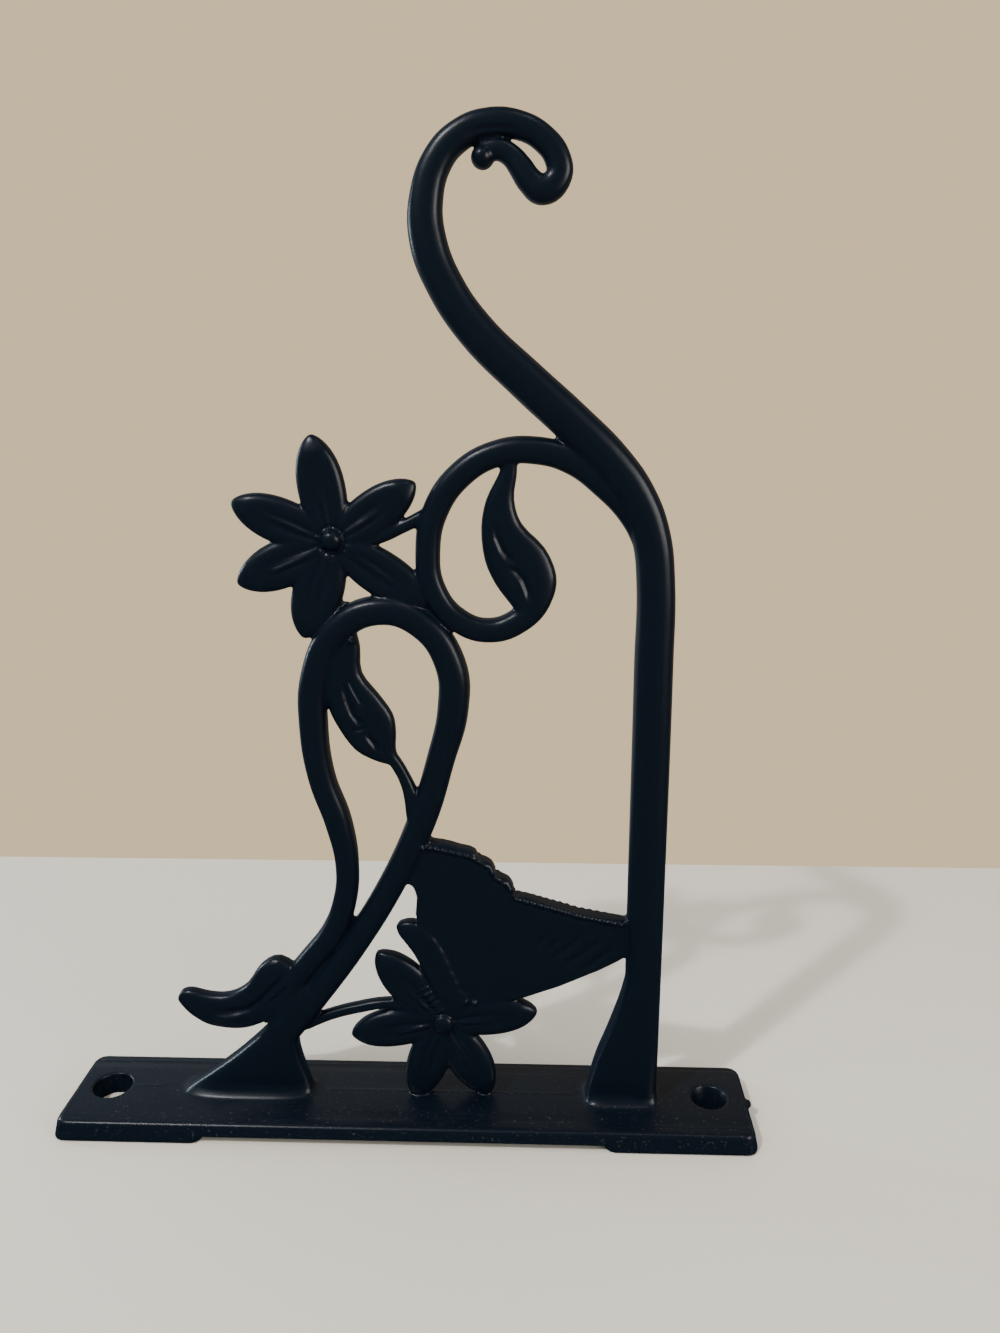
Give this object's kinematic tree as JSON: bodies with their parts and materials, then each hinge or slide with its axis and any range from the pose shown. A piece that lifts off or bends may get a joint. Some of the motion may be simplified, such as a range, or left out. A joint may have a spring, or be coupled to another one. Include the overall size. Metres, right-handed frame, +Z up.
{
  "type": "plant hanger bracket",
  "caption": "Upright black cast-metal bracket on a screw-down plate, with a curled hook for a hanging pot and an openwork of scrolls, leaves, flowers and a butterfly.",
  "frame": {"origin": "under the middle of the plate, level with the underside of its two pads", "axes": "+X along the plate, from the ornament's leaf end towards the post; -Y towards the front; +Z up, away from the surface that the plate is screwed to"},
  "size_m": [0.1802, 0.03, 0.2413],
  "materials": {
    "black_powder_coat": "satin black powder coat over a casting, with a fine orange peel and specks of dust"
  },
  "bodies": {
    "root": {"bracket_casting": "black_powder_coat"}
  },
  "joints": []
}
